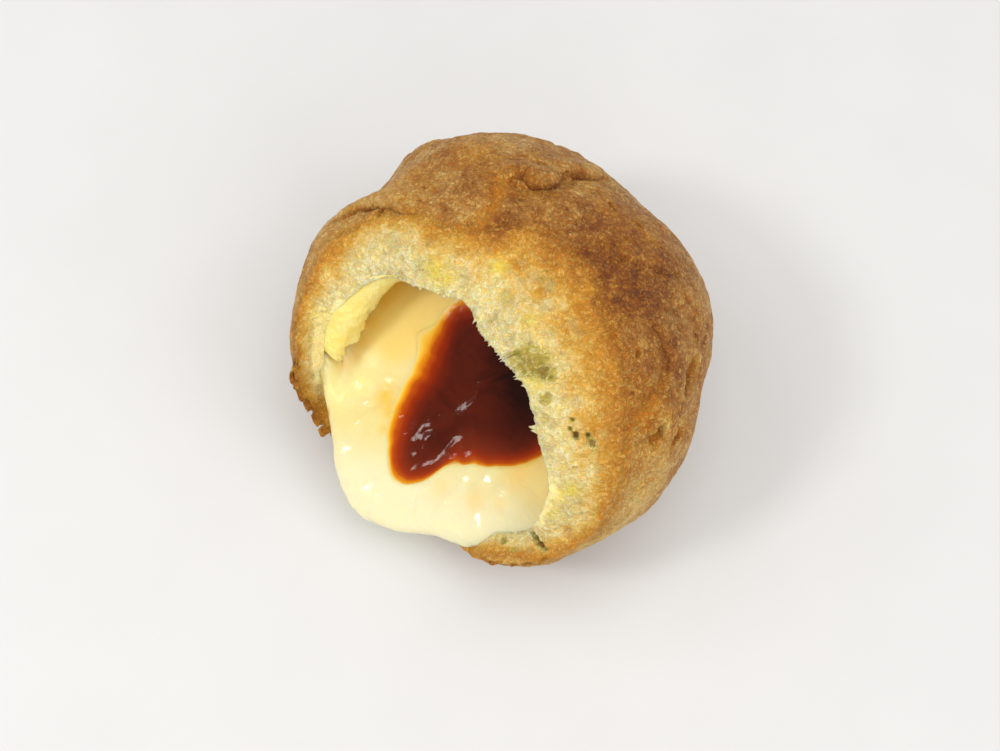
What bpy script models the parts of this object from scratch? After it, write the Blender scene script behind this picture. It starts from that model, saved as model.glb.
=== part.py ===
"""Cream puff with one bite taken: a baked choux shell, the custard that fills it, and caramel on the custard.

Metres, +Z up.  The origin is the middle of the flat foot, on the surface the puff stands on, and the
bite faces the front left (-X, -Y).  A point of the shell is given by its direction from the puff's
middle, which is straight above the origin at the height of the widest part.
"""
import math

import bmesh
import bpy
import numpy as np
from mathutils import Vector

MM = 0.001

# ---- Driving dimensions ---------------------------------------------------------------------------
WIDTH = 86.0 * MM            # along X, before the swells
DEPTH = 88.0 * MM            # along Y, before the swells
BELLY_HEIGHT = 27.0 * MM     # height of the widest part above the foot
CROWN_RISE = 31.0 * MM       # crown above the widest part
FOOT_DROP = 37.0 * MM        # where the round underside would end if no foot cut it flat
FOOT_ROUNDING = 3.0 * MM     # how softly the side runs into the flat foot
WALL = 6.5 * MM              # baked wall, crust and crumb together
FOOT_WALL = 4.5 * MM         # wall under the filling
GAP = 0.3 * MM               # clearance between touching pieces

# Swells and dents of the crust: azimuth and elevation of the middle, spread (degrees), height.
SWELLS = (
    (97, 20, 26, 2.6 * MM),       # domed head at the back
    (114, 14, 9, 1.2 * MM),       # its left side
    (131, 15, 9, -3.2 * MM),      # saddle between the head and the left shoulder
    (150, 10, 14, 1.9 * MM),      # left shoulder
    (168, 20, 22, 1.0 * MM),      # left cheek
    (46, 8, 16, -1.6 * MM),       # hollow between the head and the right cheek
    (18, 14, 20, 0.7 * MM),       # right cheek
    (-14, 4, 13, -1.6 * MM),      # dent on the right side
    (-50, -10, 14, 0.9 * MM),     # low right front
    (-80, -14, 13, 1.9 * MM),     # lower front lip
)
# Folds of the crust: points of the path (azimuth, elevation), half width (degrees), depth.
FOLDS = (
    (((86, 51), (70, 49), (67, 42), (58, 30)), 7.0, 1.4 * MM),      # foot of the head, right side
    (((147, 31), (139, 37), (132, 48)), 6.0, 0.8 * MM),             # flap on the left shoulder
)

# The bite is described round its own middle line: an angle round the line, counted from the front
# right towards the crown, and an angle away from the line.
BITE_AZIMUTH = -125.0
BITE_ELEVATION = 42.0
CRUST_EDGE = (               # where the brown crust ends
    (0, 58), (24, 59), (48, 64), (74, 71), (98, 69), (110, 61), (124, 60), (150, 64), (172, 64),
    (186, 58), (198, 52), (206, 50), (214, 57), (224, 66), (238, 69), (255, 70), (270, 71),
    (284, 71), (294, 66), (304, 59), (314, 60), (334, 59),
)
CRUMB_EDGE = (               # where the torn crumb ends at the hollow
    (2, 40), (14, 36), (31, 34), (46, 30), (66, 28), (92, 30), (108, 37), (128, 41), (144, 44),
    (156, 50), (172, 51), (186, 52), (199, 53), (208, 56), (222, 67), (238, 72), (255, 73),
    (270, 74), (284, 75), (294, 72), (305, 65), (319, 63), (328, 60), (340, 54), (348, 48),
)
CURL_RANGE = (150, 210)      # part of the hollow's edge where the inner skin curls inwards
CURL_REACH = 9.0 * MM
CURL_BELOW_EDGE = 7.0        # degrees
CURL_SPREAD = 6.0            # degrees

SHELL_SEGMENTS = 64
HOLLOW_RINGS = 14
TORN_RINGS = 7
CRUST_RINGS = 23

# Custard: its top is a slope that falls towards the bite, and it spills over the low front lip.
CUSTARD_MIDDLE_HEIGHT = 35.0 * MM    # height of the slope above the origin
CUSTARD_SLOPE = (0.28, 0.48)         # rise per unit of X and of Y
SPILL = (                            # azimuth, and how far custard stands out beyond the crust (mm)
    (-190, -6.5), (-170, -6.0), (-160, -3.5), (-151, 0.6), (-142, 3.2), (-132, 4.0), (-124, 3.4),
    (-116, 1.6), (-107, 0.0), (-98, -1.0), (-89, -3.2), (-78, -6.0), (-66, -6.5), (0, -6.5), (90, -6.5),
)
SPILL_LOW = 2.5 * MM                 # height of the spill's lowest drip
WALL_OVERLAP = 1.2 * MM              # crust left outside the custard before the shell is cut out
CUSTARD_ROUNDING = 4.0 * MM
CUSTARD_HEART = (-6.0 * MM, -9.0 * MM, 17.0 * MM)
CUSTARD_SEGMENTS = 52
CUSTARD_RINGS = 30

# Caramel: a pool on the slope, given by its reach from a middle point at angles counted from +X.
CARAMEL_MIDDLE = (-6.0 * MM, -12.0 * MM)
CARAMEL_OUTLINE = (
    (0, 19.0), (35, 17.0), (70, 17.0), (97, 18.5), (112, 17.0), (128, 14.5), (160, 14.0),
    (180, 16.0), (200, 18.5), (220, 21.0), (232, 18.0), (242, 13.5), (262, 11.6), (290, 13.4),
    (318, 17.5),
)
CARAMEL_CROWN = 1.2 * MM             # pool's surface above the custard
CARAMEL_SINK = 4.5 * MM              # pool's depth below the custard's surface
CARAMEL_SEGMENTS = 48
CARAMEL_RINGS = 10


# ---- Shape functions ------------------------------------------------------------------------------
def direction(azimuth, elevation):
    """Unit vector at an azimuth from +X towards +Y and an elevation, both in degrees."""
    a, e = math.radians(azimuth), math.radians(elevation)
    return np.array([math.cos(a) * math.cos(e), math.sin(a) * math.cos(e), math.sin(e)])


BELLY = np.array([0.0, 0.0, BELLY_HEIGHT])
BITE_LINE = direction(BITE_AZIMUTH, BITE_ELEVATION)
BITE_RIGHT = direction(BITE_AZIMUTH + 90, 0)
BITE_UP = np.cross(BITE_LINE, BITE_RIGHT)


def angle_to(dirs, centre):
    """Angle in degrees between each direction and a centre direction."""
    return np.degrees(np.arccos(np.clip(dirs @ centre, -1.0, 1.0)))


def smooth_min(a, b, reach):
    """Lower of a and b, rounded where they come within reach of each other."""
    blend = np.maximum(reach - np.abs(a - b), 0.0) / reach
    return np.minimum(a, b) - blend * blend * reach / 4


def smooth_step(x, low, high):
    t = np.clip((x - low) / (high - low), 0.0, 1.0)
    return t * t * (3 - 2 * t)


def around(knots, angles):
    """Closed smooth curve through (angle in degrees, value) knots, read at the given angles."""
    at = np.array([k[0] for k in knots], float)
    value = np.array([k[1] for k in knots], float)
    at = np.concatenate([at[-2:] - 360, at, at[:2] + 360])
    value = np.concatenate([value[-2:], value, value[:2]])
    slope = np.gradient(value, at)
    angles = np.mod(angles - at[1], 360) + at[1]
    i = np.clip(np.searchsorted(at, angles, side="right") - 1, 1, len(at) - 3)
    span = at[i + 1] - at[i]
    t = (angles - at[i]) / span
    start = (2 * t**3 - 3 * t**2 + 1) * value[i] + (t**3 - 2 * t**2 + t) * span * slope[i]
    end = (3 * t**2 - 2 * t**3) * value[i + 1] + (t**3 - t**2) * span * slope[i + 1]
    return start + end


def fold_depth(dirs, path, half_width, depth):
    """Depth of a groove that follows a path over the crust and fades at both ends."""
    stops = [direction(*p) for p in path]
    total = np.zeros(len(dirs))
    for a, b in zip(stops, stops[1:]):
        for t in np.linspace(0, 1, 8):
            middle = a * (1 - t) + b * t
            near = np.exp(-(angle_to(dirs, middle / np.linalg.norm(middle)) / half_width) ** 2)
            total = np.maximum(total, near)
    return depth * total


def crust_radius(dirs):
    """Distance from the belly's middle to the outside of the crust."""
    drop = np.where(dirs[:, 2] > 0, CROWN_RISE, FOOT_DROP)
    semi = np.stack([np.full(len(dirs), WIDTH / 2), np.full(len(dirs), DEPTH / 2), drop], axis=1)
    radius = 1 / np.linalg.norm(dirs / semi, axis=1)
    for azimuth, elevation, spread, height in SWELLS:
        radius += height * np.exp(-(angle_to(dirs, direction(azimuth, elevation)) / spread) ** 2)
    for path, half_width, depth in FOLDS:
        radius -= fold_depth(dirs, path, half_width, depth)
    foot = BELLY_HEIGHT / np.maximum(-dirs[:, 2], 1e-3)
    return smooth_min(radius, foot, FOOT_ROUNDING)


def wall_thickness(dirs):
    return WALL + (FOOT_WALL - WALL) * smooth_step(-dirs[:, 2], 0.5, 0.9)


def bite_direction(round_angle, away_angle):
    """Directions given round and away from the bite's middle line, in degrees."""
    r, a = np.radians(round_angle), np.radians(away_angle)
    side = np.cos(r)[:, None] * BITE_RIGHT + np.sin(r)[:, None] * BITE_UP
    return np.cos(a)[:, None] * BITE_LINE + np.sin(a)[:, None] * side


def curl(round_angle, away_angle, edge):
    """How far the inner skin stands in from the wall near the left of the hollow's edge."""
    first, last = CURL_RANGE
    along = smooth_step(round_angle, first, first + 12) * smooth_step(-round_angle, -last, 12 - last)
    below = (away_angle - edge - CURL_BELOW_EDGE) / CURL_SPREAD
    return CURL_REACH * along * np.exp(-below * below)


def shell_points(rings, round_angle):
    """Where the shell's surface lies, for a ring number and an angle round the bite.

    The rings start at the bottom of the hollow, run up its wall to the torn edge, across the torn
    crumb to the edge of the crust, and then round the outside to the far side.
    """
    crumb_edge = around(CRUMB_EDGE, round_angle)
    crust_edge = around(CRUST_EDGE, round_angle)
    up_wall = np.clip(rings / HOLLOW_RINGS, 0, 1)
    across = np.clip((rings - HOLLOW_RINGS) / TORN_RINGS, 0, 1)
    outside = np.clip((rings - HOLLOW_RINGS - TORN_RINGS) / CRUST_RINGS, 0, 1)
    away = 180 + (crumb_edge - 180) * up_wall
    away += (crust_edge - crumb_edge) * across + (180 - crust_edge) * outside
    dirs = bite_direction(round_angle, away)
    inset = wall_thickness(dirs) * (1 - across)
    inset += np.where(rings < HOLLOW_RINGS, curl(round_angle, away, crumb_edge), 0)
    return BELLY + dirs * (crust_radius(dirs) - inset)[:, None]


def slope_height(x, y):
    """Height of the custard's sloping top."""
    return CUSTARD_MIDDLE_HEIGHT + CUSTARD_SLOPE[0] * x + CUSTARD_SLOPE[1] * y


def bite_angles(dirs):
    """Angles round and away from the bite's middle line, in degrees."""
    round_angle = np.degrees(np.arctan2(dirs @ BITE_UP, dirs @ BITE_RIGHT)) % 360
    return round_angle, angle_to(dirs, BITE_LINE)


def custard_depth(points):
    """Positive inside the custard, negative outside, zero on its surface.

    Custard fills the hollow up to the slope.  Where the shell stands it runs on into the wall, which
    is cut out of it later; where the shell is bitten away it ends at the spill's outline.
    """
    offset = points - BELLY
    reach = np.linalg.norm(offset, axis=1)
    dirs = offset / reach[:, None]
    round_angle, away_angle = bite_angles(dirs)
    spill = around(SPILL, np.degrees(np.arctan2(dirs[:, 1], dirs[:, 0]))) * MM
    walled = smooth_step(away_angle - around(CRUMB_EDGE, round_angle), -6, 6)
    outline = np.maximum(spill, spill * (1 - walled) - WALL_OVERLAP * walled)
    limit = crust_radius(dirs) + outline
    rounding = CUSTARD_ROUNDING * (1 - walled) + WALL_OVERLAP * walled
    top = slope_height(points[:, 0], points[:, 1]) - points[:, 2]
    inside = smooth_min(limit - reach, top, rounding)
    return smooth_min(inside, points[:, 2] - SPILL_LOW, SPILL_LOW)


def custard_points(dirs):
    """Custard surface seen from its heart: the first place along each direction outside it."""
    heart = np.array(CUSTARD_HEART)
    near, far = np.zeros(len(dirs)), np.full(len(dirs), WIDTH)
    for _ in range(40):
        middle = (near + far) / 2
        inside = custard_depth(heart + dirs * middle[:, None]) > 0
        near, far = np.where(inside, middle, near), np.where(inside, far, middle)
    return heart + dirs * near[:, None]


def caramel_points(dirs):
    """Pool surface: a flat lens whose rim follows the outline on the custard's slope."""
    round_angle = np.degrees(np.arctan2(dirs[:, 1], dirs[:, 0]))
    reach = around(CARAMEL_OUTLINE, round_angle) * MM * np.hypot(dirs[:, 0], dirs[:, 1])
    x = CARAMEL_MIDDLE[0] + reach * np.cos(np.radians(round_angle))
    y = CARAMEL_MIDDLE[1] + reach * np.sin(np.radians(round_angle))
    above = np.where(dirs[:, 2] > 0, CARAMEL_CROWN, CARAMEL_SINK) * dirs[:, 2]
    return np.stack([x, y, slope_height(x, y) + above], axis=1)


# ---- Scene helpers --------------------------------------------------------------------------------
def clear_scene():
    for item in list(bpy.data.objects):
        bpy.data.objects.remove(item, do_unlink=True)


def new_collection(name):
    group = bpy.data.collections.new(name)
    bpy.context.scene.collection.children.link(group)
    return group


def new_material(name, colour, roughness):
    material = bpy.data.materials.new(name)
    material.use_nodes = True
    shader = material.node_tree.nodes["Principled BSDF"]
    shader.inputs["Base Color"].default_value = (*colour, 1)
    shader.inputs["Roughness"].default_value = roughness
    shader.inputs["Metallic"].default_value = 0.0
    return material


def shaped_sphere(name, segments, rings, shape, group, material=None, grow=0.0):
    """A UV sphere whose unit points are moved by shape(), then outwards by grow."""
    bm = bmesh.new()
    bmesh.ops.create_uvsphere(bm, u_segments=segments, v_segments=rings, radius=1.0)
    places = shape(np.array([v.co for v in bm.verts]))
    for vert, place in zip(bm.verts, places):
        vert.co = Vector(place)
    bmesh.ops.triangulate(bm, faces=bm.faces)
    bm.normal_update()
    if grow:
        moved = [vert.co + vert.normal * grow for vert in bm.verts]
        for vert, place in zip(bm.verts, moved):
            vert.co = place
    mesh = bpy.data.meshes.new(name)
    bm.to_mesh(mesh)
    bm.free()
    mesh.shade_smooth()
    piece = bpy.data.objects.new(name, mesh)
    group.objects.link(piece)
    if material:
        mesh.materials.append(material)
    return piece


def shell_from_sphere(points):
    """Fold the sphere into the shell: its latitude counts the rings, its longitude goes round."""
    rings = HOLLOW_RINGS + TORN_RINGS + CRUST_RINGS
    ring = np.arccos(np.clip(points[:, 2], -1, 1)) / math.pi * rings
    round_angle = np.degrees(np.arctan2(points[:, 1], points[:, 0])) % 360
    places = shell_points(np.round(ring), round_angle)
    places[:, 2] = np.where(places[:, 2] < 1e-7, 0.0, places[:, 2])
    return places


def cut(piece, cutter):
    """Take the cutter's shape out of the piece."""
    cutter.hide_render = True
    cutter.display_type = "WIRE"
    modifier = piece.modifiers.new("cut " + cutter.name, "BOOLEAN")
    modifier.operation = "DIFFERENCE"
    modifier.solver = "EXACT"
    modifier.object = cutter


# ---- Pieces ---------------------------------------------------------------------------------------
def make_shell(name, group, material=None, grow=0.0):
    rings = HOLLOW_RINGS + TORN_RINGS + CRUST_RINGS
    return shaped_sphere(name, SHELL_SEGMENTS, rings, shell_from_sphere, group, material, grow)


def make_caramel(name, group, material=None, grow=0.0):
    return shaped_sphere(
        name, CARAMEL_SEGMENTS, CARAMEL_RINGS, caramel_points, group, material, grow
    )


def make_custard(name, group, material):
    return shaped_sphere(name, CUSTARD_SEGMENTS, CUSTARD_RINGS, custard_points, group, material)


def main():
    clear_scene()
    puff = new_collection("cream_puff")
    cutters = new_collection("cutters")
    choux = new_material("choux", (0.36, 0.15, 0.04), 0.75)
    custard_cream = new_material("custard", (0.93, 0.78, 0.36), 0.35)
    caramel = new_material("caramel", (0.10, 0.02, 0.007), 0.12)

    make_shell("choux_shell", puff, choux)
    make_caramel("caramel_sauce", puff, caramel)
    custard = make_custard("custard", puff, custard_cream)
    cut(custard, make_shell("shell_clearance", cutters, grow=GAP))
    cut(custard, make_caramel("caramel_clearance", cutters, grow=GAP))


main()
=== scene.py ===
"""Cream puff with one bite taken, dressed in crust, torn crumb, custard and caramel.

Metres, +Z up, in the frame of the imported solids.  The shell, the custard and the caramel are finer
meshes of the solids' own forms, worked out from the same named values, and each stands for its node.
"""
import itertools
import math

import bmesh
import bpy
import numpy as np
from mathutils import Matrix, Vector


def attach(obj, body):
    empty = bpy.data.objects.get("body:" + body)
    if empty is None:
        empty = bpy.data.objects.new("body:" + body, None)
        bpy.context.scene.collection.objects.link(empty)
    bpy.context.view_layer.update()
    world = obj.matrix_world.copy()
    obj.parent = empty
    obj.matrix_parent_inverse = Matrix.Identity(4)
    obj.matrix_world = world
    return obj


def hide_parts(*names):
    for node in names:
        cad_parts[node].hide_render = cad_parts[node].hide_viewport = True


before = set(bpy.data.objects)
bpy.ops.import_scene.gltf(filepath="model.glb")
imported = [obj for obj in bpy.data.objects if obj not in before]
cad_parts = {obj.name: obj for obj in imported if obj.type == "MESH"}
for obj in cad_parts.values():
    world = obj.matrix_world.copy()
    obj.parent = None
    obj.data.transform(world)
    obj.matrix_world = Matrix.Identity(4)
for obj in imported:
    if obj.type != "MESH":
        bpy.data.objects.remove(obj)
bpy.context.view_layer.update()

MM = 0.001

# ---- The form, with the same values as the solids --------------------------------------------------
WIDTH = 86.0 * MM
DEPTH = 88.0 * MM
BELLY_HEIGHT = 27.0 * MM
CROWN_RISE = 31.0 * MM
FOOT_DROP = 37.0 * MM
FOOT_ROUNDING = 3.0 * MM
WALL = 6.5 * MM
FOOT_WALL = 4.5 * MM

# Tables give angles in degrees and lengths in mm, unless a row's note says otherwise.
# Swells and dents of the crust: azimuth and elevation of the middle, spread, height.
SWELLS = (
    (97, 20, 26, 2.6),       # domed head at the back
    (114, 14, 9, 1.2),       # its left side
    (131, 15, 9, -3.2),      # saddle between the head and the left shoulder
    (150, 10, 14, 1.9),      # left shoulder
    (168, 20, 22, 1.0),      # left cheek
    (46, 8, 16, -1.6),       # hollow between the head and the right cheek
    (18, 14, 20, 0.7),       # right cheek
    (-14, 4, 13, -1.6),      # dent on the right side
    (-50, -10, 14, 0.9),     # low right front
    (-80, -14, 13, 1.9),     # lower front lip
)

BITE_AZIMUTH = -125.0
BITE_ELEVATION = 42.0
CRUST_EDGE = (               # where the brown crust ends, round and away from the bite's middle line
    (0, 60.5), (24, 60.5), (48, 64), (74, 71), (98, 69), (110, 61), (124, 60), (138, 63), (150, 67),
    (162, 67), (174, 63), (186, 58), (198, 52), (206, 50), (214, 57), (224, 66), (238, 69), (255, 70),
    (270, 71), (284, 71), (294, 66), (304, 59), (314, 60), (326, 63), (338, 64), (350, 61.5),
)
CRUMB_EDGE = (               # where the torn crumb ends at the hollow
    (2, 40), (14, 36), (31, 34), (46, 30), (66, 28), (92, 30), (108, 37), (128, 41), (144, 45),
    (156, 51.5), (166, 53.5), (176, 53.5), (186, 55), (196, 58), (208, 58), (222, 67), (238, 72), (255, 73),
    (270, 74), (284, 75), (294, 72), (305, 65), (315, 63.5), (321, 60.5), (328, 56), (336, 52.5), (344, 50),
    (352, 45.5),
)

CUSTARD_MIDDLE_HEIGHT = 35.0 * MM
CUSTARD_SLOPE = (0.28, 0.48)
SPILL = (                            # azimuth, and how far custard stands out beyond the crust
    (-200, -6.5), (-188, -4.6), (-170, -4.0), (-160, -2.0), (-151, 0.8), (-142, 3.8), (-134, 4.9),
    (-126, 3.2), (-117, 0.5), (-109, -0.9), (-102, -1.0), (-96, -0.9), (-90, -1.8), (-80, -3.4), (-66, -4.2),
    (-54, -5.0), (-40, -6.5), (0, -6.5), (90, -6.5),
)
SPILL_LOW = 2.5 * MM
CUSTARD_ROUNDING, CUSTARD_WALL_ROUNDING = 4.0 * MM, 1.2 * MM
CUSTARD_UNDER_WALL = 4.5 * MM             # how far inside the crust the custard stops under the wall
CUSTARD_HEART = (-6.0 * MM, -9.0 * MM, 17.0 * MM)

CARAMEL_MIDDLE = (-6.0 * MM, -12.0 * MM)
CARAMEL_OUTLINE = (
    (0, 19.0), (35, 17.0), (70, 17.0), (97, 18.5), (112, 17.0), (128, 14.5), (160, 14.0),
    (180, 16.0), (200, 18.5), (220, 21.0), (232, 18.0), (242, 13.5), (262, 11.6), (290, 13.4),
    (318, 17.5),
)
CARAMEL_SINK = 4.5 * MM

# ---- Finer forms ------------------------------------------------------------------------------------
FINE = 1.0        # share of the full number of segments and rings
CRUST_SEGMENTS, CRUST_UNDER_RINGS, CRUST_RIM_RINGS, CRUST_OUTER_RINGS = 430, 12, 4, 204
CRUMB_SEGMENTS, LINING_RINGS, TORN_RINGS, COVERED_RINGS = 960, 20, 70, 10
SKIN, RIM_SKIN = 0.7 * MM, 0.3 * MM       # thickness of the brown skin over the crumb, and at its rim
RIM_DROP = 0.3 * MM                       # how far the brown skin bends down at its rim
LINING_DROP, COVERED_DROP = 1.8 * MM, 4.0 * MM        # how far the wall thickens behind the bite
RIM_MM_PER_DEGREE = 0.72                  # length along the crust for a degree away from the bite
CRUMB_BAND = 12.0                         # what the torn face counts as, from the rim inwards (mm)
INNER_SKIN_SEGMENTS, INNER_SKIN_RINGS = 260, 120
CUSTARD_SEGMENTS, CUSTARD_RINGS = 380, 250
HALVINGS = 16                             # steps in which the custard's surface is searched
CARAMEL_SEGMENTS, CARAMEL_RINGS = 260, 150

# Folds where one part of the crust bulges over the next: path (azimuth, elevation) and height.
CREASES = (
    (((89, 48), (86, 47), (81, 46.5), (76, 47.5), (71, 46), (68, 43), (67, 38)), 2.6),
    (((71, 40), (67, 36.5), (62, 33.5), (58, 29.5), (54, 23)), 1.9),
    (((148, 18), (145, 22), (141, 25), (138, 32), (137, 39), (136, 44), (132, 50)), 1.8),
    (((22, 47), (17, 45), (16, 40), (14, 36), (13, 32), (12, 24)), 1.1),
    (((-8, 40), (-13, 35), (-19, 30), (-26, 29)), 0.9),
    (((-49, 26), (-46, 25), (-42, 24.5), (-37, 23.5), (-37.5, 21), (-39, 17)), 1.5),
)
# Grooves of paler orange dough between swells of the crust: path and depth.
GROOVES = (
    (((88, 47), (92, 51), (97, 58), (104, 63), (114, 67), (124, 67)), 0.9),
    (((111, 40), (103, 38), (95, 34)), 0.4),
    (((-45, 28.5), (-41, 30), (-36, 30.5), (-32, 30)), 0.9),
    (((152, 25), (148, 32), (144, 39), (141, 46), (137, 51)), 0.5),
    (((-20, 56), (-24, 50), (-30, 44)), 0.5),
)
# Open pores and cracks of the crust: azimuth, elevation, half length, half width, tilt of the
# length from the azimuth direction, depth.
PORES = (
    (-17.8, 19.2, 4.0, 1.7, -10, 3.0),
    (-24.0, 41.0, 0.9, 0.6, 20, 0.8),
    (44.0, 37.0, 1.6, 0.5, -30, 0.8),
    (33.0, 33.0, 1.0, 0.6, 10, 0.7),
    (-40.0, 21.5, 2.2, 1.5, 30, 0.9),
    (-34.0, 14.0, 1.6, 1.0, 20, 1.0),
    (-36.0, 14.0, 1.0, 0.6, 30, 0.9),
    (-82.5, 8.0, 4.6, 0.7, -82, 2.2),
    (140.0, 33.0, 1.8, 0.8, 30, 1.0),
)
PLAIN_BROWNING = 0.395
# Browning of the crust, over the plain value: azimuth, elevation, spread, amount.
BROWNING = (
    (100, 48, 22, 0.14),
    (60, 58, 22, 0.10),
    (0, 45, 26, 0.22),
    (94, 36, 23, -0.14), (140, 36, 15, -0.12), (-66, 3, 17, -0.16), (5, 8, 18, -0.12),
    (-10, 20, 16, 0.08),
    (91, 68, 5, 0.30),
    (100, 60, 6, -0.25),
    (150, 30, 24, -0.14),
    (185, 8, 22, -0.14),
    (-55, 5, 26, -0.20),
    (-88, -2, 22, -0.16),
    (60, 20, 20, -0.06),
)
# Places where the torn rim is browned further in: azimuth, elevation, spread, reach.
BROWNED_RIM = ((-151, 10, 9, 4.0), (-93, -2, 9, 7.0), (-60, 10, 14, -2.0), (-176, 20, 12, -2.0),
               (143, 53, 17, -1.6), (152, 40, 14, -2.6),
               (-45, 46, 18, 0.6), (30, 62, 12, 0.6))
# Bubbles torn open in the crumb: round the bite, across the torn face, half width, depth, and darkness, a
# painted shade over the bubble's own yellow-green.
CRUMB_HOLES = (
    (46, 0.22, 3.2, 0.6, 0.7), (54, 0.15, 1.8, 0.4, 0.6),
    (40, 0.30, 1.8, 0.7, 0.8), (26, 0.19, 1.4, 0.5, 0.6),
    (12, 0.52, 0.7, 1.2, 1.0), (13, 0.66, 0.7, 1.2, 1.0),
    (10, 0.71, 1.1, 1.3, 0.9), (14, 0.46, 0.5, 0.8, 0.9),
    (18, 0.50, 0.5, 0.8, 0.9), (14, 0.83, 1.4, 0.4, 0.25),
    (58, 0.56, 1.3, 0.5, 0.25), (88, 0.41, 1.4, 0.6, 0.35),
    (77, 0.74, 1.5, 0.4, 0.25), (69, 0.40, 1.5, 0.5, 0.3),
    (88, 0.16, 1.4, 0.5, 0.3), (16, 0.18, 1.2, 0.4, 0.4),
    (320.5, 0.02, 0.9, 1.6, 1.0), (321, 0.14, 0.7, 1.8, 1.0), (321.5, 0.26, 0.6, 1.8, 1.0),
    (322.5, 0.38, 0.7, 1.8, 1.0), (323, 0.50, 0.7, 1.8, 1.0), (323.5, 0.62, 0.6, 1.6, 1.0),
    (324.5, 0.74, 0.6, 1.4, 0.9), (309, 0.25, 0.9, 0.9, 0.7), (313, 0.55, 0.8, 0.8, 0.6),
    (140, 0.39, 1.3, 0.4, 0.3), (112, 0.30, 1.5, 0.4, 0.25),
)
# Bright yellow, thinly covered places of the crumb: round the bite, across the torn face, half width.
YELLOW_PLACES = ((130, 0.34, 2.6), (123, 0.30, 1.6), (99, 0.62, 1.6), (40, 0.22, 2.6),
                 (69, 0.42, 1.4), (350, 0.45, 1.6), (336, 0.10, 2.2),
                 (344, 0.16, 2.0), (190, 0.15, 2.5), (205, 0.10, 2.0))
# Crumb soaked by the custard: middle place round the bite, spread, reach across the face.
SOAKED_PLACES = ((208, 22, 0.55), (338, 15, 0.24), (186, 12, 0.20))
# Thin inner skin that hangs in the hollow on the left: first and last place round the bite where it
# leaves the crumb, and its torn edge.
SKIN_RIDGE = (203.0, 151.0)
SKIN_TORN_EDGE = ((-33.0, -4.0, 28.0), (-30.8, -1.6, 30.0), (-28.9, 0.9, 32.0), (-27.0, 4.1, 34.0),
                  (-24.8, 7.0, 36.6), (-22.0, 10.2, 40.0))
# Torn flakes along the rim: first and last place round the bite, lowest and highest place beyond the
# crust's edge, number, largest half size.
FLAKE_PLACES = ((201, 234, -1.0, 2.0, 14, 2.2), (305, 322, -0.5, 1.0, 5, 1.4))
# Small wet flats of the stirred custard and of the caramel: x, y, half width.
CUSTARD_FLATS = (
    (-29.7, -7.6, 1.7), (-28.8, -10.8, 1.4), (-31.4, -5.2, 0.8), (-27.2, -28.8, 1.7),
    (-25.0, -30.4, 1.0), (-7.9, -26.5, 1.2), (-3.6, -26.9, 1.2), (-0.1, -29.8, 1.4),
    (-3.6, -30.4, 0.7), (-4.4, -34.8, 0.9), (-27.6, -8.9, 0.8), (-31.5, -22.9, 0.9),
    (-18.9, -27.9, 0.8), (-15.6, -27.1, 0.9), (-23.8, -9.8, 0.9), (-22.2, -12.2, 0.8),
    (-30.2, -14.0, 0.9), (-12.0, -33.0, 0.9),
)
CARAMEL_FLATS = (
    (-16.4, -17.9, 2.6), (-18.2, -20.6, 1.1), (-10.4, -22.2, 1.2), (-7.4, -21.9, 1.3),
    (-18.8, -23.9, 0.7), (-13.2, -13.1, 0.20), (-13.9, -12.2, 0.17), (-14.7, -13.9, 0.2),
    (-12.6, -14.2, 0.17), (-14.2, -10.8, 0.15),
)
# Rounded bumps left on the stirred custard: x, y, half width, height.
CUSTARD_BUMPS = (
    (-29.7, -8.6, 2.3, 0.7), (-27.1, -29.4, 2.2, 0.5), (-7.6, -27.2, 2.0, 0.5),
    (-3.2, -27.6, 1.9, 0.5), (0.2, -30.4, 2.2, 0.6), (-4.4, -35.4, 1.8, 0.5),
    (-23.4, -11.0, 2.2, 0.6), (-31.6, -22.9, 2.0, 0.4),
    (-36.9, -4.2, 3.3, 5.0), (-37.2, -9.0, 3.2, 3.6), (-36.8, -0.6, 2.6, 4.0),
)
# Places where caramel has run thinly into the custard, and, from (-30.8, -1.6) on, painted amber shade on the
# custard beside the inner skin's torn edge: x, y, half width, strength.
STAINS_AND_SHADE = (
    (-24.2, -9.8, 2.0, 0.75), (-23.4, -12.8, 1.5, 0.60), (-24.8, -15.8, 1.1, 0.40), (-13.0, -28.0, 2.2, 0.26),
    (-6.0, -30.6, 2.2, 0.34), (2.5, -26.5, 2.6, 0.36), (-1.0, -31.8, 1.5, 0.26), (7.0, -24.0, 3.0, 0.30),
    (-16.8, 1.4, 1.6, 0.25), (-30.8, -1.6, 1.6, 0.60),
    (-29.0, 1.0, 1.7, 0.65), (-27.0, 4.4, 1.8, 0.70), (-24.6, 8.0, 2.0, 0.75),
    (-22.0, 11.0, 2.3, 0.80), (-33.0, -3.6, 1.6, 0.40),
)
# Places where painted light brightens the custard's colour against the shade beside the crumb: x, y, half
# width, strength.
PAINTED_LIGHT_PLACES = ((-33.5, -4.0, 4.0, 0.9), (-30.0, -1.5, 3.6, 0.7), (-34.5, -9.0, 3.5, 0.8),
                (-28.5, -6.5, 3.0, 0.5), (8.0, -28.0, 4.5, 0.6))
# Wrinkles and raised lumps of the caramel: x, y, half width, height.
CARAMEL_LUMPS = ((-16.2, -18.4, 3.2, 0.40), (-19.5, -25.0, 1.8, 0.25))


# ---- The stage -------------------------------------------------------------------------------------
WINDOW, WINDOW_DISTANCE = (-165, 46), 0.9
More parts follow.
